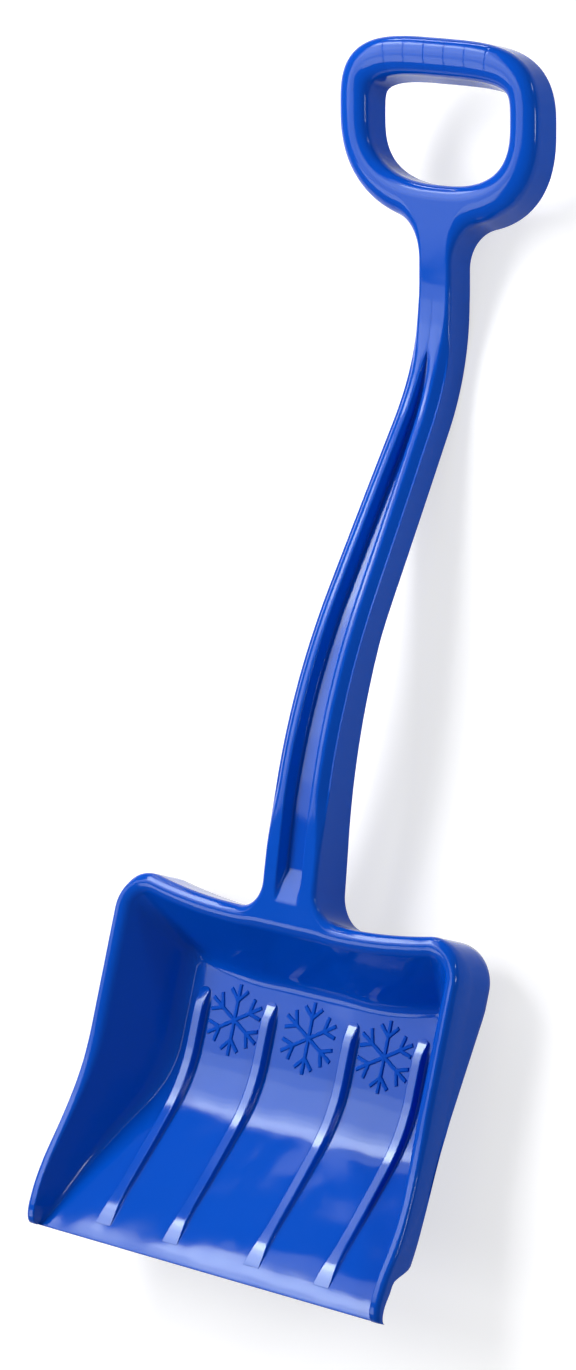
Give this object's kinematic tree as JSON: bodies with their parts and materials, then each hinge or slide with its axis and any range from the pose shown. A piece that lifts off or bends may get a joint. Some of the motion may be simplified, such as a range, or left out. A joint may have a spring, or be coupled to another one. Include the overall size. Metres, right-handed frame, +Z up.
{
  "type": "kids snow shovel",
  "caption": "Child's snow shovel: a bent scoop with ribs, snowflakes and a rolled rim, on a curved channel shaft with a ring grip, moulded in blue plastic.",
  "frame": {"origin": "centre of the bounding box on the ground, with the shovel lying on its back", "axes": "+X to the right, +Y from the lip to the grip, +Z up out of the open scoop"},
  "size_m": [0.249, 0.663, 0.0633],
  "materials": {
    "blue_plastic": "smooth glossy moulded polypropylene, royal blue all through"
  },
  "bodies": {
    "root": {"scoop_floor": "blue_plastic", "lip_edge": "blue_plastic", "scoop_wall": "blue_plastic", "skirt_left": "blue_plastic", "skirt_right": "blue_plastic", "floor_rib_1": "blue_plastic", "floor_rib_2": "blue_plastic", "floor_rib_3": "blue_plastic", "floor_rib_4": "blue_plastic", "snowflake_left": "blue_plastic", "snowflake_middle": "blue_plastic", "snowflake_right": "blue_plastic", "shaft_root": "blue_plastic", "shaft_channel": "blue_plastic", "grip_neck": "blue_plastic", "grip_ring": "blue_plastic", "shaft_web_1": "blue_plastic", "shaft_web_2": "blue_plastic", "shaft_web_3": "blue_plastic", "shaft_web_4": "blue_plastic", "shaft_web_5": "blue_plastic", "shaft_web_6": "blue_plastic", "shaft_web_7": "blue_plastic", "grip_web_1": "blue_plastic", "grip_web_2": "blue_plastic", "grip_web_3": "blue_plastic", "grip_web_4": "blue_plastic", "grip_web_5": "blue_plastic", "grip_web_6": "blue_plastic"}
  },
  "joints": []
}
